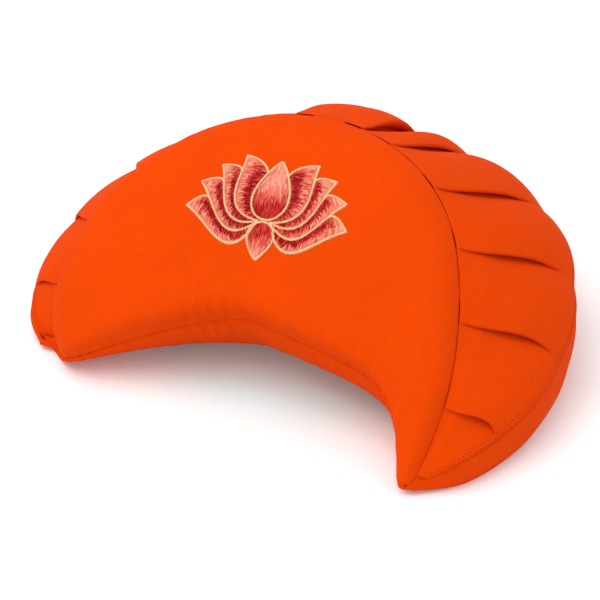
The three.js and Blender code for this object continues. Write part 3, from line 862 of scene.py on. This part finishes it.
def petal_stitches(edge_a, edge_b, kind, rng):
    """Long and short stitches: across a side petal with a slant to its tip, lengthwise in an upright one.
    Returns motif coordinates of points along each stitch, and its tone."""
    u_fine = np.linspace(0.02, 0.985, 240)
    a, b = edge_a(u_fine), edge_b(u_fine)
    wide = length(b - a)
    speed = length(np.gradient((a + b) / 2, u_fine, axis=0))
    share = np.cumsum(wide * speed + 1e-6)
    area = share[-1] * (u_fine[1] - u_fine[0])
    count = int(FILL_COVER * area / (FILL_WIDTH * FILL_LONG))
    u = np.interp((np.arange(count) + rng.uniform(0, 1, count)) / count * share[-1], share, u_fine)
    q = rng.uniform(0.0, 1.0, count)
    long = FILL_LONG * rng.uniform(0.7, 1.25, count)
    t = np.linspace(-0.5, 0.5, 4)[None, :]
    width_here = np.interp(u, u_fine, wide)
    speed_here = np.interp(u, u_fine, speed)
    if kind == "side":
        reach = np.minimum(long / np.maximum(width_here, 0.5), 0.9)
        middle = 0.05 + reach / 2 + q * (0.9 - reach)
        q_line = middle[:, None] + t * reach[:, None]
        slant = rng.normal(0.38, 0.10, count)
        u_line = u[:, None] - t * (slant * reach * width_here / speed_here)[:, None]
        u_line = u_line - 0.012 * (2 * t) ** 2
    else:
        reach = np.minimum(long * 1.1 / speed_here, 0.5)
        u_line = u[:, None] + t * reach[:, None]
        middle = 0.06 + 0.88 * q
        q_line = middle[:, None] + 0.02 * rng.normal(0, 1, count)[:, None] + 0 * t
    u_line = np.clip(u_line, 0.015, 0.985)
    flat = mix(edge_a(u_line), edge_b(u_line), q_line)
    tone = petal_tone(kind, u, middle)
    scatter = 0.42 if kind == "side" else 0.26
    return flat, np.clip(tone + rng.uniform(-scatter, scatter, count), 0, 1)


def sewn(flat, height, width, thick):
    """Thread bodies on the face from motif coordinates of points along each stitch."""
    path, up = on_lotus_ground(flat, height)
    along = unit(np.gradient(path, axis=1))
    return thread_bodies(path, up, np.cross(along, up), width, thick)


def petal_pad(edge_a, edge_b, kind, height):
    """A thin raised ground under a petal's stitches: a closed shell, full in the middle."""
    u = np.linspace(0.012, 0.988, 30)
    u = 0.5 - 0.5 * np.cos(np.pi * u)
    u = 0.012 + 0.976 * u
    q = np.linspace(0, 1, 9)
    a, b = edge_a(u), edge_b(u)
    flat = a[:, None] + (b - a)[:, None] * q[None, :, None]
    crown = height * np.maximum(1 - (2 * q - 1) ** 4, 0)[None]
    top = on_lotus_ground(flat, crown - 0.15 + 0 * flat[..., 0])[0]
    under = on_lotus_ground(flat[:, 1:-1][:, ::-1], 0 * flat[:, 1:-1, 0] - 0.35)[0]
    ring = np.concatenate([top, under], 1)
    faces = grid_faces(*ring.shape[:2], close_columns=True)
    tone = petal_tone(kind, u[:, None], q[None]) * 0.8
    tone = np.concatenate([tone, np.zeros(under.shape[:2])], 1)
    return ring.reshape(-1, 3), faces, thread_colour(tone.reshape(-1))[faces.ravel()]


def build_lotus_fill():
    """Grounds and stitches of all ten petals, dyed stitch by stitch."""
    rng = np.random.default_rng(7)
    parts = []
    for edge_a, edge_b, mirror, kind in petals():
        parts.append(petal_pad(edge_a, edge_b, kind, 0.75))
        flat, tone = petal_stitches(edge_a, edge_b, kind, rng)
        lift = 0.40 + 0.45 * rng.uniform(0, 1, len(tone))[:, None] * np.ones(flat.shape[1])
        sink = 0.30 * (np.linspace(-1, 1, flat.shape[1]) ** 2)[None]
        width = FILL_WIDTH * rng.uniform(0.75, 1.15, len(tone))
        points, faces, per_stitch = sewn(flat, lift - sink, width, FILL_THICK)
        dye = np.repeat(thread_colour(tone), per_stitch * 4, axis=0)
        parts.append((points, faces, dye))
    return joined("lotus_petal_stitches", parts)


def joined(name, parts):
    """One mesh from parts, each its points, faces and corner colours."""
    starts = np.cumsum([0] + [len(points) for points, _, _ in parts[:-1]])
    faces = np.concatenate([f + start for (_, f, _), start in zip(parts, starts)])
    points = np.concatenate([p for p, _, _ in parts])
    colour = np.concatenate([c for _, _, c in parts])
    made = make_mesh(name, points, faces, np.zeros((faces.size, 2)), colour)
    close_ends(made)
    return made


OUTLINE_WIDTH, OUTLINE_PITCH, OUTLINE_SLANT = 2.4, 0.55, 0.5
CREAM_DYE = (1.0, 0.62, 0.33)


def outlines():
    """Centre lines of the satin outlines, outer petals first so that inner ones lie over them."""
    u = np.linspace(0, 1, 160)
    for k in reversed(range(len(SIDE_PETALS))):
        crest = upper_edge(k, PARTING + (1 - PARTING) * u)[::-1]
        for mirror in (1, -1):
            side = np.array([mirror, 1.0])
            yield np.concatenate([lower_edge(k, u), crest[1:]]) * side, k
    down = np.array([1.0, -1.0])
    drop = upright_edge(DROP_PETAL, u)
    yield np.concatenate([drop, (drop * MIRROR)[::-1][1:]]) * down, -1
    bud = upright_edge(BUD, u)
    yield np.concatenate([bud, (bud * MIRROR)[::-1][1:]]), -2


def build_lotus_outline():
    """Cream satin outlines: short slanted threads side by side over every petal's edge."""
    rng = np.random.default_rng(19)
    parts = []
    t = np.linspace(-0.5, 0.5, 5)
    for line, order in outlines():
        run = run_length(line, 0)
        at = np.arange(0.2, run[-1] - 0.2, OUTLINE_PITCH)
        centre = np.stack([np.interp(at, run, line[:, c]) for c in range(2)], -1)
        ahead = np.gradient(centre, axis=0)
        ahead = ahead / np.maximum(length(ahead), 1e-9)[:, None]
        across = np.stack([-ahead[:, 1], ahead[:, 0]], -1) + ahead * OUTLINE_SLANT
        wide = OUTLINE_WIDTH * rng.uniform(0.9, 1.1, len(at))
        flat = centre[:, None] + across[:, None] * (t[None, :, None] * wide[:, None, None])
        height = (0.95 - 0.06 * order) - 3.4 * t**2 + rng.uniform(-0.05, 0.05, len(at))[:, None]
        points, faces, per_stitch = sewn(flat, height, OUTLINE_PITCH * 1.25, 0.30)
        shade = rng.uniform(0.88, 1.06, len(at))[:, None] * np.array(CREAM_DYE)
        parts.append((points, faces, np.repeat(np.minimum(shade, 1), per_stitch * 4, axis=0)))
    return joined("lotus_satin_outline", parts)


body = build_body()
band, band_area, band_run = build_band()
lap = build_lap()
lap_stitches = build_lap_stitches()
lotus_fill = build_lotus_fill()
lotus_outline = build_lotus_outline()

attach(body, "root")
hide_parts("cushion_body")

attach(band, "root")
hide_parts("pleated_band")
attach(lap, "root")
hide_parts("lap_strip")
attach(lap_stitches, "root")
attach(lotus_fill, "root")
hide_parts(*sorted(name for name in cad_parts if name.startswith("lotus_")))
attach(lotus_outline, "root")


# ---- finishes ----
class Value:
    """A node's output in an expression; each operator adds one Math node."""

    def __init__(self, finish, socket):
        self.finish, self.socket = finish, socket

    def math(self, operation, *terms):
        return self.finish.node("Math", dict(enumerate(terms)), operation=operation)

    def __add__(self, other):
        return self.math("ADD", self, other)

    def __sub__(self, other):
        return self.math("SUBTRACT", self, other)

    def __rsub__(self, other):
        return self.math("SUBTRACT", other, self)

    def __mul__(self, other):
        return self.math("MULTIPLY", self, other)

    def __truediv__(self, other):
        return self.math("DIVIDE", self, other)

    def __pow__(self, other):
        return self.math("POWER", self, other)

    def sine(self):
        return self.math("SINE", self)

    def size(self):
        return self.math("ABSOLUTE", self)

    __radd__, __rmul__ = __add__, __mul__


class Finish:
    """A material. node() adds a node of any kind from its settings and its sockets' values."""

    def __init__(self, name):
        self.material = bpy.data.materials.new(name)
        self.material.use_nodes = True
        self.tree = self.material.node_tree
        self.surface = self.tree.nodes["Principled BSDF"]

    def put(self, socket, value):
        if isinstance(value, Value):
            self.tree.links.new(value.socket, socket)
        else:
            socket.default_value = value

    def node(self, kind, sockets, output=0, stops=None, **settings):
        node = self.tree.nodes.new("ShaderNode" + kind)
        for name, value in settings.items():
            setattr(node, name, value)
        for k, (place, colour) in enumerate(stops or ()):
            ramp = node.color_ramp.elements
            stop = ramp[k] if k < 2 else ramp.new(place)
            stop.position, stop.color = place, (*colour, 1)
        for name, value in sockets.items():
            self.put(node.inputs[name], value)
        return Value(self, node.outputs[output])

    def blend(self, factor, a, b, kind="MIX"):
        """Two colours mixed by a factor."""
        return self.node("Mix", {0: factor, 6: a, 7: b}, output=2, data_type="RGBA", blend_type=kind)

    def across(self, place):
        """The first two coordinates of a place."""
        return [self.node("SeparateXYZ", {0: place}, output=k) for k in (0, 1)]

    def set(self, **sockets):
        for name, value in sockets.items():
            self.put(self.surface.inputs[name.replace("_", " ").title()], value)


def cotton(name, dye, pitch=0.00075):
    """Plain-weave cotton: threads over and under each other, with slubs, slightly uneven dye and painted
    shade in the hollows of the weave.
    """
    finish = Finish(name)
    uv = finish.node("UVMap", {}, uv_map="cloth")
    u, v = finish.across(uv)
    turn = math.pi / pitch
    weft_slub, warp_slub = (
        finish.node("TexNoise", {"Vector": finish.node("Mapping", {0: uv, 3: stretch}),
                                 "Scale": 1.0, "Detail": 2.0})
        for stretch in ((60, 1300, 1), (1300, 60, 1)))
    over = (u * turn).sine() * (v * turn).sine()
    weave = over.size() ** 0.5
    slubs = weft_slub + warp_slub - 1.0
    place = finish.node("TexCoord", {}, output=3)
    mottle = finish.node("TexNoise", {"Vector": place, "Scale": 14.0, "Detail": 3.0})
    # colour: the weave's hollows between the threads are painted darker (painted shade); slubs and mottle are
    # uneven tone of the cloth
    shade = 0.5 + (weave - 0.6) * 0.22 + slubs * 0.55 + (mottle - 0.5) * 0.5
    dark = tuple(c * 0.80 for c in dye)
    light = tuple(min(c * 1.10, 1.0) for c in dye)
    colour = finish.blend(shade, (*dark, 1), (*light, 1))
    height = weave * 0.5 + slubs * 1.2
    bump = finish.node("Bump", {"Height": height, "Strength": 0.35, "Distance": 0.0003})
    finish.set(base_color=colour, roughness=0.86 + (slubs * 0.1), normal=bump,
               sheen_weight=0.10, sheen_roughness=0.4, sheen_tint=(1.0, 0.10, 0.0, 1))
    finish.surface.inputs["Specular IOR Level"].default_value = 0.04
    return finish.material


def thread(name):
    """Silky embroidery thread in the dye of each stitch."""
    finish = Finish(name)
    dye = finish.node("VertexColor", {}, layer_name="dye")
    place = finish.node("TexCoord", {}, output=3)
    strands = finish.node("TexNoise", {"Vector": place, "Scale": 2600.0, "Detail": 2.0})
    uneven = finish.node("TexNoise", {"Vector": place, "Scale": 260.0, "Detail": 2.0})
    colour = finish.blend(0.3 + uneven * 0.7, finish.blend(0.75, (0, 0, 0, 1), dye), dye)
    bump = finish.node("Bump", {"Height": strands, "Strength": 0.3, "Distance": 0.00012})
    finish.set(base_color=colour, roughness=0.42 + strands * 0.2, normal=bump)
    finish.surface.inputs["Specular IOR Level"].default_value = 0.12
    return finish.material


def sewing_thread(name, dye):
    """Plain cotton sewing thread."""
    finish = Finish(name)
    place = finish.node("TexCoord", {}, output=3)
    strands = finish.node("TexNoise", {"Vector": place, "Scale": 2000.0, "Detail": 2.0})
    dark = tuple(c * 0.7 for c in dye)
    bump = finish.node("Bump", {"Height": strands, "Strength": 0.3, "Distance": 0.0001})
    colour = finish.blend(strands, (*dark, 1), (*dye, 1))
    finish.set(base_color=colour, roughness=0.6 + strands * 0.2, normal=bump)
    finish.surface.inputs["Specular IOR Level"].default_value = 0.2
    return finish.material


ORANGE = (0.750, 0.056, 0.0004)
orange_cotton = cotton("orange_cotton", ORANGE)
for piece in (body, band, lap):
    piece.data.materials.append(orange_cotton)
lap_stitches.data.materials.append(sewing_thread("orange_sewing_thread", (0.50, 0.022, 0.001)))
petal_thread = thread("lotus_thread")
lotus_fill.data.materials.append(petal_thread)
lotus_outline.data.materials.append(thread("cream_thread"))


# ---- floor, light and camera ----
FLOOR_HALF = 6.0
FLOOR_NEAR, FLOOR_FAR = (0.66, 0.90, 0.91, 1), (0.89, 0.90, 0.90, 1)
FLOOR_FADE_FROM, FLOOR_FADE = 0.12, 0.06       # where the near colour starts to fade, and over what
# the floor's faint glow is painted light: it lifts the shadows round the cushion to a paler grey
FLOOR_GLOW, FLOOR_GLOW_COLOUR = 0.09, (0.85, 0.90, 0.90, 1)
SKY_STRENGTH = 0.88
LAMP_PLACE, LAMP_AIM, LAMP_SIZE, LAMP_POWER = (-0.35, -0.55, 1.6), (0, -0.02, 0.05), 1.3, 15


def floor_and_light():
    """A wide white floor with a faint painted glow, an even sky and one large lamp above, to the left and in
    front.
    """
    mesh = bpy.data.meshes.new("floor")
    corners = [(x * FLOOR_HALF, y * FLOOR_HALF, 0) for x, y in ((-1, -1), (1, -1), (1, 1), (-1, 1))]
    mesh.from_pydata(corners, [], [(0, 1, 2, 3)])
    floor = bpy.data.objects.new("floor", mesh)
    bpy.context.scene.collection.objects.link(floor)
    finish = Finish("pale_floor")
    place = finish.node("TexCoord", {}, output=3)
    x, y = finish.across(place)
    away = (x * x + y * y) ** 0.5
    # cooler close to the cushion, which evens out the orange light it throws on the floor
    white = finish.blend((away - FLOOR_FADE_FROM) / FLOOR_FADE, FLOOR_NEAR, FLOOR_FAR)
    finish.set(base_color=white, roughness=0.9, emission_color=FLOOR_GLOW_COLOUR,
               emission_strength=FLOOR_GLOW)
    mesh.materials.append(finish.material)
    world = bpy.data.worlds.new("studio")
    world.use_nodes = True
    background = world.node_tree.nodes["Background"]
    background.inputs[0].default_value = (1, 1, 1, 1)
    background.inputs[1].default_value = SKY_STRENGTH
    bpy.context.scene.world = world
    light = bpy.data.lights.new("overhead", "AREA")
    light.size, light.energy = LAMP_SIZE, LAMP_POWER
    lamp = bpy.data.objects.new("overhead", light)
    lamp.location = LAMP_PLACE
    aim = Vector(LAMP_AIM) - lamp.location
    lamp.rotation_euler = aim.to_track_quat("-Z", "Y").to_euler()
    bpy.context.scene.collection.objects.link(lamp)


def camera():
    turn, rise, far = math.radians(27), math.radians(32), 1.2
    target = Vector((0.015, -0.061, 0.060))
    back = Vector((math.sin(turn) * math.cos(rise), -math.cos(turn) * math.cos(rise), math.sin(rise)))
    data = bpy.data.cameras.new("camera")
    data.lens, data.sensor_width = 92, 36
    data.clip_start, data.clip_end = 0.05, 50
    made = bpy.data.objects.new("camera", data)
    made.location = target + back * far
    made.rotation_euler = (-back).to_track_quat("-Z", "Y").to_euler()
    bpy.context.scene.collection.objects.link(made)
    bpy.context.scene.camera = made


floor_and_light()
camera()
bpy.context.scene.view_settings.view_transform = "Standard"
